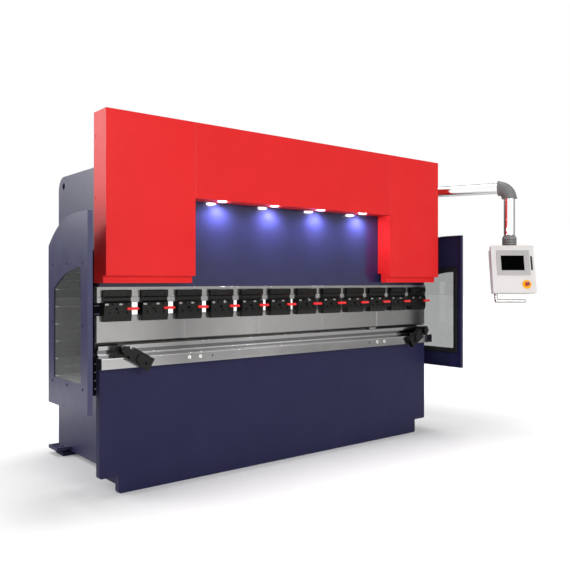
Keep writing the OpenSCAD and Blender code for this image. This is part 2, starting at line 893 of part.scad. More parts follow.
module gauge_finger() {
    lip_y = [beam_y[0] - slide_clear, beam_y[1] + slide_clear];
    saddle_z = beam_top + slide_clear;
    lip_low = beam_top - finger_grip;
    along_x(finger_x - finger_w / 2, finger_w)
        polygon([[finger_tip, die_top + finger_up], [finger_tip, die_top - finger_under],
                 [lip_y[0] - finger_lip, saddle_z], [lip_y[0] - finger_lip, lip_low], [lip_y[0], lip_low],
                 [lip_y[0], saddle_z], [lip_y[1], saddle_z], [lip_y[1], lip_low],
                 [lip_y[1] + finger_lip, lip_low], [lip_y[1] + finger_lip, die_top + finger_up]]);
}

module gauge_finger_left() {
    color(steel) left_hand() gauge_finger();
}

module gauge_finger_right() {
    color(steel) gauge_finger();
}

// Plan of a knob with round lobes on its rim
module lobed(r, lobe_r, lobes) {
    circle(r);
    for (i = [0:lobes - 1])
        rotate(i * 360 / lobes) translate([r, 0]) circle(lobe_r);
}

// Sheet supports: a carriage in the die groove with a pivot stud, and the arm that folds down on it
module carriage() {
    tongue = [groove_z[0] + slide_clear, groove_z[1] - slide_clear];
    knob_y = carriage_y - slide_clear - support_t - knob_gap;
    block([pivot_x - carriage_side[0], carriage_y, bed_h + slide_clear],
          [pivot_x + carriage_side[1], -die_half - slide_clear, die_top]);
    block([pivot_x - carriage_side[0], -die_half - 1, tongue[0]],
          [pivot_x + carriage_side[1], -die_half + groove_d - slide_clear, tongue[1]]);
    rod_y(pivot_x, knob_y - 1, pivot_z, pivot_r, carriage_y - knob_y + 2);
    translate([pivot_x, knob_y, pivot_z]) rotate([90, 0, 0]) linear_extrude(knob_h)
        lobed(knob_r, knob_lobe_r, knob_lobes);
}

module carriage_left() {
    color(black) left_hand() carriage();
}

module carriage_right() {
    color(black) carriage();
}

// The arm is drawn level from its pivot towards the middle of the machine, then turned down
module support_arm() {
    translate([pivot_x, carriage_y - slide_clear, pivot_z]) rotate([0, -support_angle, 0]) difference() {
        union() {
            rotate([90, 0, 0]) linear_extrude(support_t) {
                circle(support_root);
                translate([-support_start - 1, -support_neck / 2]) square([support_start + 1, support_neck]);
                translate([-support_len, -support_w / 2]) square([support_len - support_start, support_w]);
            }
            translate([-boss_at, 1 - support_t, 0]) rotate([90, 0, 0]) linear_extrude(boss_h + 1)
                lobed(boss_r, boss_lobe_r, boss_lobes);
        }
        rod_y(0, -support_t - 1, 0, pivot_r + run_clear, support_t + 2);
        rod_y(stop_hole_in - support_len, -support_t - 1, -stop_hole_down, stop_hole_r, support_t + 2);
    }
}

module support_arm_left() {
    color(black) left_hand() support_arm();
}

module support_arm_right() {
    color(black) support_arm();
}

// Pendant: bracket on the right frame, arm tube with its hub, elbow, drop tube and the control housing
module pendant_bracket() {
    top = hub_low - slide_clear;
    color(grey) difference() {
        union() {
            block([frame_out, arm_pivot[1] - bracket_plate[1] / 2, top - bracket_h - bracket_foot],
                  [frame_out + bracket_plate[0], arm_pivot[1] + bracket_plate[1] / 2, top]);
            block([frame_out + 1, arm_pivot[1] - bracket_arm / 2, top - bracket_h],
                  [arm_pivot[0], arm_pivot[1] + bracket_arm / 2, top]);
            translate([arm_pivot[0], arm_pivot[1], top - bracket_h]) cylinder(r = hub_r, h = bracket_h);
        }
        translate([arm_pivot[0], arm_pivot[1], top - bracket_h + pin_floor])
            cylinder(r = pin_r + run_clear, h = bracket_h);
    }
}

module arm_tube() {
    run = arm_len - elbow_bend;
    color(white) {
        translate([arm_pivot[0], arm_pivot[1], hub_low]) cylinder(r = hub_r, h = hub_top - hub_low);
        translate([arm_pivot[0], arm_pivot[1], hub_low - bracket_h + pin_short])
            cylinder(r = pin_r, h = bracket_h);
        translate([arm_pivot[0], arm_pivot[1], arm_z]) rotate([0, 0, arm_angle]) rotate([90, 0, 0])
            cylinder(r = tube_r, h = run);
    }
}

// The elbow's bend is turned on its side so that it leads from the arm into the drop tube
module arm_elbow() {
    start = arm_pivot + (arm_len - elbow_bend) * arm_dir;
    color(grey) {
        translate([start[0], start[1], arm_z - elbow_bend]) rotate([0, 0, arm_angle])
            rotate([0, -90, 0]) rotate([0, 0, -90])
                rotate_extrude(angle = 90) translate([elbow_bend, 0]) circle(elbow_r);
        translate([start[0], start[1], arm_z]) rotate([0, 0, arm_angle]) rotate([90, 0, 0])
            cylinder(r = elbow_collar[0], h = elbow_collar[1]);
        translate([drop_axis[0], drop_axis[1], arm_z - elbow_bend])
            cylinder(r = elbow_collar[0], h = elbow_collar[1]);
    }
}

module drop_tube() {
    color(white) translate([drop_axis[0], drop_axis[1], drop_low]) difference() {
        cylinder(r = tube_r, h = drop_len);
        translate([0, 0, -1]) cylinder(r = tube_r - tube_wall, h = drop_len - drop_plug);
    }
}

module pendant_neck() {
    color(grey) translate([drop_axis[0], drop_axis[1], 0]) {
        rotate_extrude() difference() {
            union() {
                translate([0, neck_z[0]]) square([neck_r, neck_h - neck_dome]);
                intersection() {
                    translate([0, neck_z[1] - neck_dome - 1]) square([neck_r, neck_dome + 1]);
                    translate([0, neck_z[1] - dome_up]) circle(dome_r);
                }
            }
            for (i = [0:ring_count - 1])
                translate([neck_r - ring_cut[0], neck_z[0] + ring_first + i * ring_pitch])
                    square([ring_cut[0] + 1, ring_cut[1]]);
        }
        translate([0, 0, neck_z[1] - 1]) cylinder(r = tube_r - tube_wall - run_clear, h = spigot_h);
    }
}

// A rectangle with rounded corners, hung from the middle of its top edge
module rounded(w, h, r) {
    translate([-w / 2 + r, -h]) square([w - 2 * r, h]);
    translate([-w / 2, -h + r]) square([w, h - 2 * r]);
    for (x = [-w / 2 + r, w / 2 - r], z = [-h + r, -r])
        translate([x, z]) circle(r);
}

// Places children on the housing's face: X across it, Y into it and Z up it from the top edge
module on_housing() {
    translate([drop_axis[0], drop_axis[1], neck_z[0] - 1]) rotate([0, 0, -housing_turn])
        translate([0, -housing_ahead, 0]) rotate([-housing_lean, 0, 0]) children();
}

module pendant_housing() {
    color(white) difference() {
        union() {
            on_housing() {
                along_y(0, housing_d[0]) rounded(housing_w, housing_h, housing_r);
                along_y(housing_d[0] - 1, housing_d[1] - housing_d[0] + 1) translate([0, -housing_side])
                    rounded(housing_w - 2 * housing_side, housing_h - 2 * housing_side, housing_r);
            }
            translate([drop_axis[0], drop_axis[1], neck_z[0] - collar_h])
                cylinder(r = neck_r - collar_in, h = collar_h);
        }
        on_housing() {
            translate([latch_at[0], -1, latch_at[1]]) cube([latch_size[0], latch_size[2] + 1, latch_size[1]]);
            rod_y(stop_at[0], -1, stop_at[1], stop_stem_r + run_clear, stop_bore);
        }
    }
}

module pendant_bezel() {
    color("lightgray") on_housing() along_y(-bezel[2], bezel[2]) difference() {
        translate([0, -bezel_drop]) rounded(bezel[0], bezel[1], bezel_r);
        translate([screen_at[0] - screen[0] / 2, -bezel_drop - screen_at[1] - screen[1]])
            square([screen[0], screen[1]]);
    }
}

module pendant_screen() {
    color("black") on_housing()
        translate([screen_at[0] - screen[0] / 2, -screen[2], -bezel_drop - screen_at[1] - screen[1]])
            cube([screen[0], screen[2], screen[1]]);
}

module stop_base() {
    color("gold") on_housing() difference() {
        translate([stop_at[0], 0, stop_at[1]]) rotate([90, 0, 0]) rotate_extrude() intersection() {
            square([stop_base_r, stop_base_h]);
            union() {
                square([stop_base_r, stop_base_h - stop_base_round]);
                square([stop_base_r - stop_base_round, stop_base_h]);
                translate([stop_base_r - stop_base_round, stop_base_h - stop_base_round])
                    circle(stop_base_round);
            }
        }
        rod_y(stop_at[0], -stop_base_h - 1, stop_at[1], stop_stem_r + run_clear, stop_base_h + 2);
    }
}

module stop_button() {
    back = -stop_base_h - stop_travel - stop_gap;
    color("crimson") on_housing() translate([stop_at[0], back, stop_at[1]]) {
        rotate([90, 0, 0]) rotate_extrude()
            polygon([[0, 0], [stop_cap_r, 0], [stop_cap_r, stop_cap_h - stop_dome],
                     [stop_cap_r - stop_dome, stop_cap_h], [0, stop_cap_h]]);
        rod_y(0, -1, 0, stop_stem_r, stop_stem_len);
    }
}

module pendant_grip() {
    low = -housing_h - grip_drop;
    color(white) on_housing() {
        translate([grip_x[0], grip_y, low]) cylinder(r = grip_r, h = grip_drop + housing_side);
        translate([grip_x[0], grip_y, low]) rotate([0, 90, 0]) cylinder(r = grip_r, h = grip_x[1] - grip_x[0]);
        for (x = grip_x)
            translate([x, grip_y, low]) sphere(grip_r);
    }
}

side_frame_left();
side_frame_right();
bed_plate();
front_bar();
front_bar_bolts();
die_block();
floor_pads();
cover_left();
cover_right();
cover_center();
panel_screws();
lamps();
guard_left();
guard_right();
guard_panes();
vent_panels();
cylinders();
oil_tank();
pump_motor();
tie_beam();
ram_guides();
gauge_frame();
gauge_motor();
pendant_bracket();
ram_plate();
tool_bar();
tool_clamps();
clamp_bolts();
punches();
piston_rods();
for (i = [1:clamp_count])
    clamp_lever(i);
gauge_beam();
gauge_screw();
gauge_finger_left();
gauge_finger_right();
carriage_left();
carriage_right();
support_arm_left();
support_arm_right();
arm_tube();
arm_elbow();
drop_tube();
pendant_neck();
pendant_housing();
pendant_bezel();
pendant_screen();
stop_base();
pendant_grip();
stop_button();
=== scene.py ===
import math

import bpy
import numpy as np
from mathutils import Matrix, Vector


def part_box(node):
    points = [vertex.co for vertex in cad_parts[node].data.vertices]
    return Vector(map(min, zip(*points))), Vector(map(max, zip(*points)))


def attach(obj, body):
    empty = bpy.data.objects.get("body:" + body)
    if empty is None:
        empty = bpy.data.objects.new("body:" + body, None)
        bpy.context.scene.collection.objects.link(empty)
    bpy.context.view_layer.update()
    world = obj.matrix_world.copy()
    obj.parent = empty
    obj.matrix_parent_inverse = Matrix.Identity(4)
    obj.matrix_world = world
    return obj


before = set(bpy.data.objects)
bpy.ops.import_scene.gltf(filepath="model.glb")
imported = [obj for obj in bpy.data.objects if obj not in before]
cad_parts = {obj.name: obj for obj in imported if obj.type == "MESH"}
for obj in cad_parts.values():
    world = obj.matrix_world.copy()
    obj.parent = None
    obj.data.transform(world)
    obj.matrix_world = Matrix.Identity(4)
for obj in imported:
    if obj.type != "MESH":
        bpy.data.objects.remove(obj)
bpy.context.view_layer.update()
scene = bpy.context.scene
print("frame loaded:", len(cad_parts), "nodes")


# sRGB hex to the linear colour that shaders use
def linear(hexText):
    c = np.array([int(hexText[i:i + 2], 16) for i in (1, 3, 5)]) / 255
    c = np.where(c <= 0.04045, c / 12.92, ((c + 0.055) / 1.055) ** 2.4)
    return (*c.tolist(), 1.0)


# Adds one node with its settings, socket values, links and colour stops
def put(tree, kind, values=None, links=None, stops=(), **settings):
    node = tree.nodes.new(kind)
    for key, value in settings.items():
        setattr(node, key, value)
    for key, value in (values or {}).items():
        node.inputs[key].default_value = value
    for key, source in (links or {}).items():
        tree.links.new(source, node.inputs[key])
    for i, (at, colour) in enumerate(stops):
        stop = node.color_ramp.elements[i] if i < 2 else node.color_ramp.elements.new(at)
        stop.position, stop.color = at, colour
    return node


# Socket values that carry one range over to another
def between(low, high, start=0.0, end=1.0):
    return {"From Min": low, "From Max": high, "To Min": start, "To Max": end}


# A pattern of one cell per so many millimetres, in object metres
def perMm(mm):
    return 1000.0 / mm


def newMaterial(name):
    mat = bpy.data.materials.new(name)
    mat.use_nodes = True
    mat.node_tree.nodes.clear()
    return mat, mat.node_tree


# Tints a colour by how far along one axis a point lies: bands are places in metres with the tint there
def banded(tree, place, colour, axis, bands):
    low, high = bands[0][0], bands[-1][0]
    along = put(tree, "ShaderNodeSeparateXYZ", links={"Vector": place}).outputs[axis]
    level = put(tree, "ShaderNodeMapRange", between(low, high), {"Value": along})
    stops = [((at - low) / (high - low), linear(hexText)) for at, hexText in bands]
    tint = put(tree, "ShaderNodeValToRGB", links={"Fac": level.outputs["Result"]}, stops=stops)
    mixed = put(tree, "ShaderNodeMix", {"Factor": 1.0}, {6: colour, 7: tint.outputs["Color"]},
                data_type="RGBA", blend_type="MULTIPLY")
    return mixed.outputs[2]


# Patterns that the finishes share: sizes in millimetres, the part of each pattern's range that shows, and the
# heights in metres of the bumps. Tool lines, moulded grain and frost are drawn coarser than real ones, which
# would be too fine to show
grain = {"cloudMm": 240, "cloudSpan": (0.35, 0.7), "dustMm": 70, "dustSpan": (0.3, 0.75),
         "patchMm": 160, "lineSpan": (0.3, 0.7), "wearSpan": (0.25, 0.75),
         "wipeMm": 300, "wipeSpan": (0.3, 0.7), "frostMm": 4, "frostSpan": (0.3, 0.7),
         "peelHigh": 0.0004, "lineHigh": 0.0002, "edgeSamples": 4}


# Sprayed paint or moulded skin: faint clouds in the colour, orange peel or grain, and edges that catch light
def paint(name, hexBase, hexCloud, peelMm, peelDepth, rough, spec, edgeMm, coat=0.0, coatRough=0.1, bands=()):
    mat, tree = newMaterial(name)
    place = put(tree, "ShaderNodeTexCoord").outputs["Object"]
    cloud = put(tree, "ShaderNodeTexNoise", {"Scale": perMm(grain["cloudMm"]), "Detail": 4, "Roughness": 0.6},
                {"Vector": place})
    peel = put(tree, "ShaderNodeTexNoise", {"Scale": perMm(peelMm), "Detail": 2}, {"Vector": place})
    dust = put(tree, "ShaderNodeTexNoise", {"Scale": perMm(grain["dustMm"]), "Detail": 6, "Roughness": 0.7},
               {"Vector": place})
    colour = put(tree, "ShaderNodeValToRGB", links={"Fac": cloud.outputs["Fac"]},
                 stops=zip(grain["cloudSpan"], [linear(hexBase), linear(hexCloud)])).outputs["Color"]
    for axis, stops in bands:
        colour = banded(tree, place, colour, axis, stops)
    rub = put(tree, "ShaderNodeMapRange", between(*grain["dustSpan"], *rough), {"Value": dust.outputs["Fac"]})
    edge = put(tree, "ShaderNodeBevel", {"Radius": edgeMm / 1000}, samples=grain["edgeSamples"])
    bump = put(tree, "ShaderNodeBump", {"Strength": peelDepth, "Distance": grain["peelHigh"]},
               {"Height": peel.outputs["Fac"], "Normal": edge.outputs["Normal"]})
    skin = put(tree, "ShaderNodeBsdfPrincipled",
               {"IOR": 1.5, "Specular IOR Level": spec, "Coat Weight": coat, "Coat Roughness": coatRough},
               {"Base Color": colour, "Roughness": rub.outputs["Result"], "Normal": bump.outputs["Normal"]})
    put(tree, "ShaderNodeOutputMaterial", links={"Surface": skin.outputs["BSDF"]})
    return mat


# Machined metal: fine tool lines drawn out along one axis, with patches of wear that change the gloss
def machined(name, hexBase, hexDark, rough, lineMm, stretch, depth, edgeMm, tone=0.5, bands=()):
    mat, tree = newMaterial(name)
    place = put(tree, "ShaderNodeTexCoord").outputs["Object"]
    drawn = put(tree, "ShaderNodeMapping", {"Scale": stretch}, {"Vector": place})
    lines = put(tree, "ShaderNodeTexNoise", {"Scale": perMm(lineMm), "Detail": 3, "Roughness": 0.6},
                {"Vector": drawn.outputs["Vector"]})
    patch = put(tree, "ShaderNodeTexNoise",
                {"Scale": perMm(grain["patchMm"]), "Detail": 5, "Roughness": 0.65}, {"Vector": place})
    mixed = put(tree, "ShaderNodeMix", {"Factor": tone},
                {"A": lines.outputs["Fac"], "B": patch.outputs["Fac"]}, data_type="FLOAT")
    colour = put(tree, "ShaderNodeValToRGB", links={"Fac": mixed.outputs["Result"]},
                 stops=zip(grain["lineSpan"], [linear(hexDark), linear(hexBase)])).outputs["Color"]
    for axis, stops in bands:
        colour = banded(tree, place, colour, axis, stops)
    rub = put(tree, "ShaderNodeMapRange", between(*grain["wearSpan"], *rough),
              {"Value": mixed.outputs["Result"]})
    edge = put(tree, "ShaderNodeBevel", {"Radius": edgeMm / 1000}, samples=grain["edgeSamples"])
    bump = put(tree, "ShaderNodeBump", {"Strength": depth, "Distance": grain["lineHigh"]},
               {"Height": lines.outputs["Fac"], "Normal": edge.outputs["Normal"]})
    skin = put(tree, "ShaderNodeBsdfPrincipled", {"Metallic": 1.0},
               {"Base Color": colour, "Roughness": rub.outputs["Result"], "Normal": bump.outputs["Normal"]})
    put(tree, "ShaderNodeOutputMaterial", links={"Surface": skin.outputs["BSDF"]})
    return mat


# Polycarbonate pane: smoke tint with faint wipe marks in the gloss
def pane(name, hexTint, rough):
    mat, tree = newMaterial(name)
    place = put(tree, "ShaderNodeTexCoord").outputs["Object"]
    wipe = put(tree, "ShaderNodeTexNoise", {"Scale": perMm(grain["wipeMm"]), "Detail": 5, "Distortion": 0.6},
               {"Vector": place})
    rub = put(tree, "ShaderNodeMapRange", between(*grain["wipeSpan"], *rough), {"Value": wipe.outputs["Fac"]})
    skin = put(tree, "ShaderNodeBsdfPrincipled",
               {"Base Color": linear(hexTint), "IOR": 1.58, "Transmission Weight": 1.0},
               {"Roughness": rub.outputs["Result"]})
    put(tree, "ShaderNodeOutputMaterial", links={"Surface": skin.outputs["BSDF"]})
    return mat


# Frosted lamp lens: a lit diffuser with a fine grain; the camera sees it less bright than it lights
def litLens(name, hexBody, hexGlow, hexCore, strength, seenStrength):
    mat, tree = newMaterial(name)
    path = put(tree, "ShaderNodeLightPath")
    power = put(tree, "ShaderNodeMix", {"A": strength, "B": seenStrength},
                {"Factor": path.outputs["Is Camera Ray"]}, data_type="FLOAT")
    place = put(tree, "ShaderNodeTexCoord").outputs["Object"]
    frost = put(tree, "ShaderNodeTexNoise", {"Scale": perMm(grain["frostMm"]), "Detail": 2},
                {"Vector": place})
    glow = put(tree, "ShaderNodeValToRGB", links={"Fac": frost.outputs["Fac"]},
               stops=zip(grain["frostSpan"], [linear(hexGlow), linear(hexCore)]))
    skin = put(tree, "ShaderNodeBsdfPrincipled", {"Base Color": linear(hexBody), "Roughness": 0.45},
               {"Emission Color": glow.outputs["Color"], "Emission Strength": power.outputs["Result"]})
    put(tree, "ShaderNodeOutputMaterial", links={"Surface": skin.outputs["BSDF"]})
    return mat


# Bands for a row of even strips: each has its own tint, with the plain tint between them and at both ends
def strips(ends, first, pitch, count, wide, soft, plain, tint):
    bands = [(ends[0], plain)]
    for low in first + pitch * np.arange(count):
        bands += [(low - soft, plain), (low, tint), (low + wide, tint), (low + wide + soft, plain)]
    return bands + [(ends[1], plain)]


# Heights on front bar and die: plain face, painted highlight on the bar edge, painted shade on the lip,
# painted highlight on the sill, painted shade in the groove, plain lip, painted highlight on the top edge
dieHighlightShadeBands = [(0.640, "#BDBDBD"), (0.6955, "#BDBDBD"), (0.698, "#FFFFFF"), (0.7005, "#FFFFFF"),
            (0.7025, "#A2A2A5"), (0.713, "#9F9FA2"), (0.715, "#FFFFFF"), (0.7180, "#FFFFFF"),
            (0.7200, "#88888C"), (0.737, "#7E7E82"), (0.7395, "#C2C2C2"), (0.757, "#C2C2C2"),
            (0.759, "#F6F6F6")]
# The punches and the die are made lighter and darker along their length: brightest left of the middle,
# darkest at the right end
lengthToneBands = [(-1.263, "#E9E9E9"), (-1.10, "#E9E9E9"), (-0.80, "#C4C4C4"), (-0.60, "#DEDEDE"),
             (-0.33, "#FFFFFF"), (0.0, "#F5F5F5"), (0.28, "#E7E7E7"), (0.6, "#D0D0D0"), (0.87, "#C2C2C2"),
             (1.263, "#BFBFBF")]
# Painted highlight on the tips of the punches, which are made brighter than their faces
tipHighlightBands = [(0.76, "#FFFFFF"), (0.776, "#FFFFFF"), (0.7785, "#C8C8C8"), (0.92, "#C8C8C8")]
# Painted highlight on the ends of the punch segments: a narrow bright strip at each joint, where the chamfers
# catch light
jointHighlightBands = strips(ends=(-1.263, 1.263), first=-0.76112, pitch=0.50528, count=4, wide=0.0064, soft=0.0006,
                    plain="#E1E0DF", tint="#FFFFFF")
# Painted shade in the three ring grooves of the pendant's neck
ringShadeBands = strips(ends=(1.335, 1.412), first=1.341, pitch=0.0165, count=3, wide=0.005, soft=0.0008,
                   plain="#FFFFFF", tint="#6A6A6A")
# Screws in the covers are sprayed red with them, and those in the guards further out navy
screwBands = [(-1.5, "#1B1A3E"), (-1.331, "#1B1A3E"), (-1.33, "#D01518"), (1.33, "#D01518"),
              (1.331, "#1B1A3E"), (1.5, "#1B1A3E")]
# Painted highlight: a pale line on the folded edges at both ends of the centre cover
edgeHighlightBands = [(-0.76, "#E94344"), (-0.7592, "#E94344"), (-0.7590, "#E42829"), (0.7590, "#E42829"),
             (0.7592, "#E94344"), (0.76, "#E94344")]

finishes = {mat.name: mat for mat in [
    # satin polyester powder coat on heavy plate: dark navy, soft sheen, fine orange peel
    paint("navyPowderCoat", "#222244", "#262648", peelMm=6, peelDepth=0.10, rough=(0.42, 0.52), spec=0.16,
          edgeMm=2.0),
    # the same kind of coat on the side frames, laid on thicker and glossier
    paint("navyFrameCoat", "#26254A", "#2B2A50", peelMm=6, peelDepth=0.08, rough=(0.34, 0.44), spec=0.5,
          edgeMm=2.0, coat=0.30, coatRough=0.3),
    # glossy two-pack enamel on the ram: mirrors the lamps
    paint("navyEnamel", "#1D1D3D", "#212142", peelMm=9, peelDepth=0.03, rough=(0.10, 0.16), spec=0.4,
          edgeMm=1.5, coat=0.2, coatRough=0.06),
    # navy coat on the left guard's folded sheet, glossier than the plate
    paint("navySheetCoat", "#1F1F4D", "#232352", peelMm=5, peelDepth=0.06, rough=(0.30, 0.40), spec=0.5,
          edgeMm=1.0, coat=0.22, coatRough=0.22),
    # signal red powder coat on the side covers: smooth and even
    paint("redPowderCoat", "#E42627", "#E82A2B", peelMm=5, peelDepth=0.06, rough=(0.34, 0.42), spec=0.16,
          edgeMm=2.5),
    # the same coat on the centre cover, whose bands hold its red and a painted highlight on its end edges
    paint("redCentreCoat", "#FCFCFC", "#FFFFFF", peelMm=5, peelDepth=0.06, rough=(0.34, 0.42), spec=0.16,
          edgeMm=2.5, bands=[("X", edgeHighlightBands)]),
    # ground tool steel: bright, with long grinding lines
    machined("groundSteel", "#A09F9E", "#979695", rough=(0.20, 0.30), lineMm=1.6, stretch=(0.02, 1, 1),
             depth=0.02, edgeMm=2.5),
    # the same steel on the punches, whose bands hold its grey, its tone along the length, and painted
    # highlights at the joints and on the tips
    machined("punchSteel", "#FFFFFF", "#F2F1F0", rough=(0.20, 0.30), lineMm=1.6, stretch=(0.02, 1, 1),
             depth=0.02, edgeMm=2.5, bands=[("X", jointHighlightBands), ("X", lengthToneBands), ("Z", tipHighlightBands)]),
    # hardened die steel, ground finer: its bands hold painted shade in its groove and on its lip, painted
    # highlights on its edges, and its tone along the length
    machined("dieSteel", "#F6F5F4", "#E7E6E5", rough=(0.12, 0.20), lineMm=1.2, stretch=(0.02, 1, 1),
             depth=0.02, edgeMm=1.5, bands=[("Z", dieHighlightShadeBands), ("X", lengthToneBands)]),
    # burnished black steel of the clamps and supports: oiled oxide skin
    machined("blackOxideSteel", "#30302F", "#232423", rough=(0.28, 0.40), lineMm=5, stretch=(0.3, 1, 1),
             depth=0.06, edgeMm=1.4, tone=0.35),
    # zinc plated bolts
    machined("zincPlate", "#F4F3F0", "#D6D5D2", rough=(0.12, 0.2), lineMm=2, stretch=(1, 1, 1), depth=0.04,
             edgeMm=3.0),
    # red anodised levers
    paint("redAnodised", "#EC1C1F", "#F02A28", peelMm=3, peelDepth=0.04, rough=(0.25, 0.33), spec=0.5,
          edgeMm=0.8),
    # grey machine enamel on castings: slightly rough skin
    paint("greyCasting", "#6F6F70", "#7B7B7B", peelMm=2.5, peelDepth=0.35, rough=(0.42, 0.58), spec=0.45,
          edgeMm=1.5),
    # the same kind of enamel on the ringed neck, a little paler, with painted shade in its ring grooves
    paint("ringedCasting", "#7A7A7B", "#868686", peelMm=2.5, peelDepth=0.25, rough=(0.40, 0.52), spec=0.45,
          edgeMm=0.8, bands=[("Z", ringShadeBands)]),
    # polished stainless tube of the pendant arm: mirrors the white studio, with dark edges
    machined("polishedStainless", "#F4F4F3", "#F0F0EF", rough=(0.08, 0.11), lineMm=2, stretch=(1, 1, 0.05),
             depth=0.0, edgeMm=0.05),
    # white fine-texture coat on the control housing
    paint("whiteTextureCoat", "#DCD9D6", "#E1DEDB", peelMm=1.6, peelDepth=0.30, rough=(0.45, 0.58), spec=0.45,
          edgeMm=1.5),
    # satin anodised aluminium rod of the grip
    machined("satinAluminium", "#B4B2B0", "#A6A4A2", rough=(0.22, 0.3), lineMm=1.5, stretch=(1, 1, 1),
             depth=0.02, edgeMm=0.8, tone=0.6),
    # smoke-tinted polycarbonate of the guard windows
    pane("smokePolycarbonate", "#A0A2A2", rough=(0.0, 0.025)),
    # frosted polycarbonate of the lamps
    litLens("frostedLens", hexBody="#F4F7FF", hexGlow="#E4E9FF", hexCore="#FFFFFF", strength=205.0,
            seenStrength=2.0),
    # black coat on perforated sheet
    paint("blackSheetCoat", "#15161F", "#1D1E29", peelMm=4, peelDepth=0.12, rough=(0.45, 0.6), spec=0.4,
          edgeMm=0.6),
    # screws sprayed along with the sheet they hold, whose bands hold its colour
    paint("coatedScrew", "#FFFFFF", "#F2F2F2", peelMm=3, peelDepth=0.05, rough=(0.35, 0.45), spec=0.4,
          edgeMm=0.5, bands=[("X", screwBands)]),
    # moulded light grey ABS frame of the screen
    paint("greyAbs", "#AFADAB", "#B7B5B3", peelMm=1.2, peelDepth=0.15, rough=(0.40, 0.5), spec=0.45,
          edgeMm=0.8),
    # black glass of the touch screen
    paint("blackGlass", "#010102", "#020303", peelMm=30, peelDepth=0.01, rough=(0.06, 0.1), spec=0.01,
          edgeMm=0.3),
    # moulded safety yellow and red plastics of the stop switch
    paint("yellowNylon", "#FFB400", "#FFBE0C", peelMm=1.5, peelDepth=0.10, rough=(0.32, 0.42), spec=0.15,
          edgeMm=0.8),
    paint("redNylon", "#D8141C", "#E02228", peelMm=1.5, peelDepth=0.08, rough=(0.28, 0.38), spec=0.5,
          edgeMm=0.8),
    # dark moulded insert of the stop button
    paint("darkNylon", "#1B2B33", "#22343C", peelMm=1.5, peelDepth=0.10, rough=(0.35, 0.45), spec=0.4,
          edgeMm=0.5),
    # extruded black sealing rubber
    paint("blackRubber", "#0B0B0D", "#141416", peelMm=2, peelDepth=0.20, rough=(0.55, 0.7), spec=0.35,
          edgeMm=0.8),
]}
print("materials made:", len(finishes))

wornBy = {
    "navyPowderCoat": ["bed_plate", "oil_tank", "tie_beam", "gauge_frame", "floor_pads", "guard_right"],
    "navyFrameCoat": ["side_frame_left", "side_frame_right"],
    "navyEnamel": ["ram_plate"],
    "navySheetCoat": ["guard_left"],
    "redPowderCoat": ["cover_left", "cover_right"],
    "redCentreCoat": ["cover_center"],
    "punchSteel": ["punches"],
    "groundSteel": ["tool_bar", "clamp_bolts", "gauge_beam", "gauge_screw", "gauge_finger_left",
                    "gauge_finger_right", "piston_rods", "ram_guides"],
    "dieSteel": ["front_bar", "die_block"],
    "blackOxideSteel": ["tool_clamps", "carriage_left", "carriage_right", "support_arm_left",
                        "support_arm_right", "gauge_motor"],
    "zincPlate": ["front_bar_bolts"],
    "redAnodised": ["clamp_lever_%d" % i for i in range(1, 13)],
    "greyCasting": ["cylinders", "pump_motor", "pendant_bracket", "arm_elbow"],
    "ringedCasting": ["pendant_neck"],
    "polishedStainless": ["arm_tube", "drop_tube"],
    "whiteTextureCoat": ["pendant_housing"],
    "satinAluminium": ["pendant_grip"],
    "smokePolycarbonate": ["guard_panes"],
    "frostedLens": ["lamps"],
    "blackSheetCoat": ["vent_panels"],
    "coatedScrew": ["panel_screws"],
    "greyAbs": ["pendant_bezel"],
    "blackGlass": ["pendant_screen"],
    "yellowNylon": ["stop_base"],
    "redNylon": ["stop_button"],
}
for finish, names in wornBy.items():
    for name in names:
        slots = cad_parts[name].data.materials
        slots.clear()
        slots.append(finishes[finish])
print("finishes laid on", sum(len(n) for n in wornBy.values()), "nodes")


# Grid of points (rows, columns, 3) to a closed mesh: columns join round, rows join round or end in flat caps
def gridPiece(name, points, finish, body, closeRows=False):
    rows, cols = points.shape[:2]
    r = np.arange(rows if closeRows else rows - 1)[:, None]
    c = np.arange(cols)[None, :]
    r2, c2 = (r + 1) % rows, (c + 1) % cols
    faces = np.stack([r * cols + c, r * cols + c2, r2 * cols + c2, r2 * cols + c], -1).reshape(-1, 4).tolist()
    if not closeRows:
        faces += [np.arange(cols)[::-1].tolist(), ((rows - 1) * cols + np.arange(cols)).tolist()]
    mesh = bpy.data.meshes.new(name)
    mesh.from_pydata(points.reshape(-1, 3).tolist(), [], faces)
    mesh.materials.append(finishes[finish])
    mesh.update()
    piece = bpy.data.objects.new(name, mesh)
    scene.collection.objects.link(piece)
    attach(piece, body)


# Rubber seal: a low crowned strip carried round the outline of each window on the inner face of its pane
seal = {"paneFace": 1.399, "wide": 0.032, "thick": 0.004, "seat": 0.0002, "out": 0.017,
        "y": (-0.165, 0.179), "z": (0.599, 1.151), "arcR": 0.618, "arcSteps": 28, "across": 9, "crown": 4}


# Outline = three straight sides, and an arc over the top that falls to the rear; all of it grown outwards
def windowOutline(out):
    y0, y1 = seal["y"][0] - out, seal["y"][1] + out
    z0, z1 = seal["z"][0] - out, seal["z"][1] + out
    centre, radius = np.array([seal["y"][0], seal["z"][1] - seal["arcR"]]), seal["arcR"] + out
    arc = np.linspace(math.acos((y1 - centre[0]) / radius), math.pi / 2, seal["arcSteps"])
    bow = centre + radius * np.stack([np.cos(arc), np.sin(arc)], -1)
    return np.vstack([[[y0, z0], [y1, z0]], bow, [[y0, z1]]])


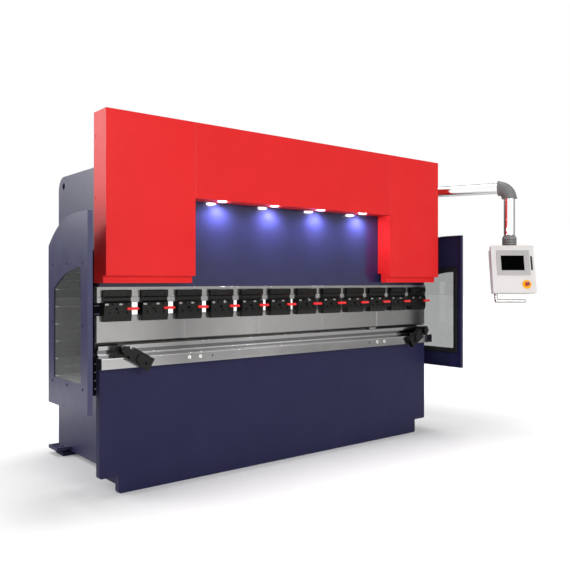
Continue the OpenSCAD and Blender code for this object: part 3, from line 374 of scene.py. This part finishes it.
# Point on the strip = outline grown by half the width times u, lifted by a crown of 1 - u^4; flat beneath
def windowSeal(name, side):
    u = np.linspace(-1, 1, seal["across"])
    rings = np.stack([windowOutline(seal["out"] + v * seal["wide"] / 2) for v in u], 1)
    lift = seal["seat"] + seal["thick"] * (1 - u ** seal["crown"])
    top = np.empty(rings.shape[:2] + (3,))
    top[..., 0] = side * (seal["paneFace"] - lift[None, :])
    top[..., 1:] = rings
    points = top if side < 0 else top[:, ::-1]
    gridPiece(name, points, "blackRubber", "machine_frame", closeRows=True)


windowSeal("window_seal_right", 1)
windowSeal("window_seal_left", -1)
print("window seals made")

# Points measured on the control housing's leaning face: across it, into it and up it from its top edge
housing = {"drop": (1.6303844, -0.4774674, 1.337), "turn": -38.9, "lean": -12.5, "ahead": 0.053}


# Point in the machine = point on the face tipped by the lean, set ahead, and turned about the drop tube
def onHousing(points):
    a, b = math.radians(housing["lean"]), math.radians(housing["turn"])
    x, y, z = points[..., 0], points[..., 1], points[..., 2]
    y, z = y * math.cos(a) - z * math.sin(a) - housing["ahead"], y * math.sin(a) + z * math.cos(a)
    return np.stack([x * math.cos(b) - y * math.sin(b) + housing["drop"][0],
                     x * math.sin(b) + y * math.cos(b) + housing["drop"][1], z + housing["drop"][2]], -1)


# Latch strip in the housing's recess: rings of back, wall, shoulder and crown, each with its size and depth
latch = {"middle": (0.1295, -0.1285), "half": (0.0062, 0.0505), "corner": 6, "around": 48,
         "size": (0.02, 1.0, 1.0, 0.85, 0.5, 0.02),
         "depth": (0.0055, 0.0055, -0.0015, -0.0024, -0.003, -0.003)}
# Ring = super-ellipse times the ring's size: cosine and sine raised to 2 / corner, with their signs kept
t = np.linspace(0, 2 * math.pi, latch["around"], endpoint=False)
flat = np.stack([np.cos(t), np.sin(t)], -1)
flat = np.sign(flat) * np.abs(flat) ** (2 / latch["corner"])
size = np.array(latch["size"])[:, None]
rings = np.empty((len(size), len(t), 3))
rings[..., 0] = latch["middle"][0] + latch["half"][0] * size * flat[:, 0]
rings[..., 1] = np.array(latch["depth"])[:, None]
rings[..., 2] = latch["middle"][1] + latch["half"][1] * size * flat[:, 1]
gridPiece("housing_latch", onHousing(rings), "blackRubber", "pendant")

# Dark insert in the stop button's cap: a shallow dish, as each ring's share of the radius and the thickness
dish = {"middle": (0.085, -0.281), "front": -0.028, "r": 0.0088, "thick": 0.0007, "around": 40,
        "radii": (1.0, 1.0, 0.85, 0.5, 0.02), "rises": (0.0, 0.8, 1.0, 0.65, 0.55)}
# Ring = circle about the button's axis, moved out of the cap by its share of the thickness
t = np.linspace(0, 2 * math.pi, dish["around"], endpoint=False)
r = dish["r"] * np.array(dish["radii"])[:, None]
rings = np.empty((len(r), len(t), 3))
rings[..., 0] = dish["middle"][0] + r * np.cos(t)
rings[..., 1] = dish["front"] - dish["thick"] * np.array(dish["rises"])[:, None]
rings[..., 2] = dish["middle"][1] + r * np.sin(t)
gridPiece("stop_button_insert", onHousing(rings), "darkNylon", "stop_button")
print("pendant trim made")

# Pale floor: its glow grows from the machine's footprint outwards, which paints shade on the floor round its
# base;
# mirrors see it darker along bands in Y, given as place and share, and in round spots, given as middle, reach
# and share
ground = {"half": 40, "drop": 0.0005, "shade": "#E2E2E2", "glow": (0.09, 0.42), "fadeFrom": (0.05, 0.9),
          "footMiddle": (0.075, 0.36, 0), "footHalf": (1.675, 0.46, 0), "dimReach": 6.0,
          "dim": [(0.4, 0.0), (1.0, 0.65), (1.9, 0.65), (2.4, 0.1), (3.1, 0.1), (4.6, 0.85)],
          "darkSpots": [((4.4, -5.2, 0), (0.6, 3.2), 0.8), ((3.4, 0.9, 0), (0.6, 2.0), 0.6)]}

mat, tree = newMaterial("paleFloor")
path = put(tree, "ShaderNodeLightPath")
matte = put(tree, "ShaderNodeBsdfDiffuse", {"Color": linear(ground["shade"])})
seen = put(tree, "ShaderNodeMath", links={0: path.outputs["Is Camera Ray"], 1: path.outputs["Is Glossy Ray"]},
           operation="MAXIMUM")
seenToo = put(tree, "ShaderNodeMath", links={0: seen.outputs[0], 1: path.outputs["Is Transmission Ray"]},
              operation="MAXIMUM")
place = put(tree, "ShaderNodeTexCoord").outputs["Object"]
# how far a point of the floor lies outside the machine's footprint
off = put(tree, "ShaderNodeVectorMath", {1: ground["footMiddle"]}, {0: place}, operation="SUBTRACT")
off = put(tree, "ShaderNodeVectorMath", links={0: off.outputs["Vector"]}, operation="ABSOLUTE")
off = put(tree, "ShaderNodeVectorMath", {1: ground["footHalf"]}, {0: off.outputs["Vector"]},
          operation="SUBTRACT")
off = put(tree, "ShaderNodeVectorMath", {1: (0, 0, 0)}, {0: off.outputs["Vector"]}, operation="MAXIMUM")
far = put(tree, "ShaderNodeVectorMath", links={0: off.outputs["Vector"]}, operation="LENGTH")
fade = put(tree, "ShaderNodeMapRange", between(*ground["fadeFrom"], *ground["glow"]),
           {"Value": far.outputs["Value"]})
glow = put(tree, "ShaderNodeMath", links={0: seenToo.outputs[0], 1: fade.outputs["Result"]},
           operation="MULTIPLY")
light = put(tree, "ShaderNodeEmission", links={"Strength": glow.outputs[0]})
both = put(tree, "ShaderNodeAddShader", links={0: matte.outputs[0], 1: light.outputs[0]})
spot = put(tree, "ShaderNodeSeparateXYZ", links={"Vector": place})
span = put(tree, "ShaderNodeMapRange", between(0.0, ground["dimReach"]), {"Value": spot.outputs["Y"]})
dimStops = [(at / ground["dimReach"], (share, share, share, 1)) for at, share in ground["dim"]]
shade = put(tree, "ShaderNodeValToRGB", links={"Fac": span.outputs["Result"]},
            stops=dimStops).outputs["Color"]
for middle, reach, share in ground["darkSpots"]:
    blob = put(tree, "ShaderNodeVectorMath", {1: middle}, {0: place}, operation="DISTANCE")
    patch = put(tree, "ShaderNodeMapRange", between(*reach, share, 0.0), {"Value": blob.outputs["Value"]})
    shade = put(tree, "ShaderNodeMath", links={0: shade, 1: patch.outputs["Result"]},
                operation="MAXIMUM").outputs[0]
mirror = put(tree, "ShaderNodeMath",
             links={0: path.outputs["Is Glossy Ray"], 1: path.outputs["Is Transmission Ray"]},
             operation="SUBTRACT", use_clamp=True)
dim = put(tree, "ShaderNodeMath", links={0: mirror.outputs[0], 1: shade}, operation="MULTIPLY")
night = put(tree, "ShaderNodeEmission", {"Strength": 0.0})
sweep = put(tree, "ShaderNodeMixShader", links={0: dim.outputs[0], 1: both.outputs[0], 2: night.outputs[0]})
put(tree, "ShaderNodeOutputMaterial", links={"Surface": sweep.outputs[0]})
mesh = bpy.data.meshes.new("studio_floor")
h = ground["half"]
mesh.from_pydata([(-h, -h, 0), (h, -h, 0), (h, h, 0), (-h, h, 0)], [], [(0, 1, 2, 3)])
mesh.materials.append(mat)
floor = bpy.data.objects.new("studio_floor", mesh)
floor.location.z = -ground["drop"]
scene.collection.objects.link(floor)

# White surroundings. What gloss sees of them is bright all round, but grey at the machine's right, and dark
# low down behind the machine and in a wall beyond it. Each way is a direction, and each range is where that
# part sets in
gloss = {"high": 1.1, "right": 0.35, "low": 0.10, "fill": 0.45, "rightFrom": (0.30, 0.9),
         "rearWay": (0.25, 0.97, 0), "rearFrom": (0.3, 0.75), "lowFrom": (0.075, 0.24),
         "wallWay": (0.63, 0.78, 0), "wallFrom": (0.0, 0.28),
         "sideWay": (0.78, -0.63, 0), "sideFrom": (0.55, 0.8)}

world = bpy.data.worlds.new("whiteStudio")
scene.world = world
world.use_nodes = True
tree = world.node_tree
tree.nodes.clear()
path = put(tree, "ShaderNodeLightPath")
seen = put(tree, "ShaderNodeMath",
           links={0: path.outputs["Is Camera Ray"], 1: path.outputs["Is Transmission Ray"]},
           operation="MAXIMUM")
way = put(tree, "ShaderNodeTexCoord").outputs["Generated"]
part = put(tree, "ShaderNodeSeparateXYZ", links={"Vector": way})
behind = put(tree, "ShaderNodeVectorMath", {1: gloss["rearWay"]}, {0: way}, operation="DOT_PRODUCT")
rear = put(tree, "ShaderNodeMapRange", between(*gloss["rearFrom"]), {"Value": behind.outputs["Value"]})
low = put(tree, "ShaderNodeMapRange", between(*gloss["lowFrom"], 1.0, 0.0), {"Value": part.outputs["Z"]})
band = put(tree, "ShaderNodeMath", links={0: rear.outputs["Result"], 1: low.outputs["Result"]},
           operation="MULTIPLY")
beyond = put(tree, "ShaderNodeVectorMath", {1: gloss["wallWay"]}, {0: way}, operation="DOT_PRODUCT")
past = put(tree, "ShaderNodeMapRange", between(*gloss["wallFrom"]), {"Value": beyond.outputs["Value"]})
beside = put(tree, "ShaderNodeVectorMath", {1: gloss["sideWay"]}, {0: way}, operation="DOT_PRODUCT")
aside = put(tree, "ShaderNodeMath", links={0: beside.outputs["Value"]}, operation="ABSOLUTE")
narrow = put(tree, "ShaderNodeMapRange", between(*gloss["sideFrom"], 1.0, 0.0), {"Value": aside.outputs[0]})
wall = put(tree, "ShaderNodeMath", links={0: past.outputs["Result"], 1: narrow.outputs["Result"]},
           operation="MULTIPLY")
dark = put(tree, "ShaderNodeMath", links={0: band.outputs[0], 1: wall.outputs[0]}, operation="MAXIMUM")
right = put(tree, "ShaderNodeMapRange", between(*gloss["rightFrom"], gloss["high"], gloss["right"]),
            {"Value": part.outputs["X"]})
shine = put(tree, "ShaderNodeMix", {"B": gloss["low"]},
            {"Factor": dark.outputs[0], "A": right.outputs["Result"]}, data_type="FLOAT")
fill = put(tree, "ShaderNodeMix", {"A": gloss["fill"]},
           {"Factor": path.outputs["Is Glossy Ray"], "B": shine.outputs["Result"]}, data_type="FLOAT")
power = put(tree, "ShaderNodeMix", {"B": 1.0}, {"Factor": seen.outputs[0], "A": fill.outputs["Result"]},
            data_type="FLOAT")
back = put(tree, "ShaderNodeBackground", {"Color": (1, 1, 1, 1)}, {"Strength": power.outputs["Result"]})
put(tree, "ShaderNodeOutputWorld", links={"Surface": back.outputs[0]})

# Lights: a broad soft one overhead, and two softboxes
overhead = {"power": 1.5, "soft": 30, "tilt": (-4, 5, 0)}
softboxes = {"frontSoft": {"power": 188, "size": (3.0, 1.8), "at": (-1.0, -7.0, 2.8), "aim": (0, 0, 1.2)},
             "sideSoft": {"power": 160, "size": (3.0, 2.0), "at": (-5.1, 4.4, 3.0), "aim": (-1.0, 0.5, 1.5)}}

sun = bpy.data.lights.new("overhead", "SUN")
sun.energy, sun.angle = overhead["power"], math.radians(overhead["soft"])
lamp = bpy.data.objects.new("overhead", sun)
lamp.rotation_euler = [math.radians(a) for a in overhead["tilt"]]
scene.collection.objects.link(lamp)

for name, box in softboxes.items():
    light = bpy.data.lights.new(name, "AREA")
    light.energy, light.shape, light.size, light.size_y = box["power"], "RECTANGLE", *box["size"]
    lamp = bpy.data.objects.new(name, light)
    lamp.location = box["at"]
    lamp.rotation_euler = (Vector(box["aim"]) - Vector(box["at"])).to_track_quat("-Z", "Y").to_euler()
    scene.collection.objects.link(lamp)

# The beams of the lamps under the cover: one spot light just below the middle of each lens
beam = {"x": (-0.552, -0.184, 0.184, 0.552), "y": -0.080, "below": 0.004, "power": 24.0, "cone": 174,
        "soft": 0.7, "radius": 0.022, "shade": "#D8DEFF"}
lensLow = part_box("lamps")[0][2]
# the beams do not reach the floor or the covers beside them
unlit = bpy.data.collections.new("unlitByBeams")
for piece in (floor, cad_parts["cover_left"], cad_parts["cover_right"]):
    unlit.objects.link(piece)
for link in unlit.collection_objects:
    link.light_linking.link_state = "EXCLUDE"
for x in beam["x"]:
    light = bpy.data.lights.new("lampBeam", "SPOT")
    light.energy, light.color = beam["power"], linear(beam["shade"])[:3]
    light.spot_size, light.spot_blend = math.radians(beam["cone"]), beam["soft"]
    light.shadow_soft_size = beam["radius"]
    lamp = bpy.data.objects.new("lampBeam", light)
    lamp.location = (x, beam["y"], lensLow - beam["below"])
    lamp.visible_glossy = False
    lamp.light_linking.receiver_collection = unlit
    scene.collection.objects.link(lamp)
print("studio lit")

# Camera at the photograph's eye point, level, with the picture shifted down a little
view = {"lens": 43.26, "sensor": 36, "turn": -38.9, "eye": (-2.681, -3.2737, 1.0869), "shift": -0.0072}
cam = bpy.data.cameras.new("camera")
cam.lens, cam.sensor_width, cam.shift_y = view["lens"], view["sensor"], view["shift"]
eye = bpy.data.objects.new("camera", cam)
eye.location = view["eye"]
eye.rotation_euler = (math.radians(90), 0, math.radians(view["turn"]))
scene.collection.objects.link(eye)
scene.camera = eye
scene.view_settings.view_transform = "Standard"
print("camera set")
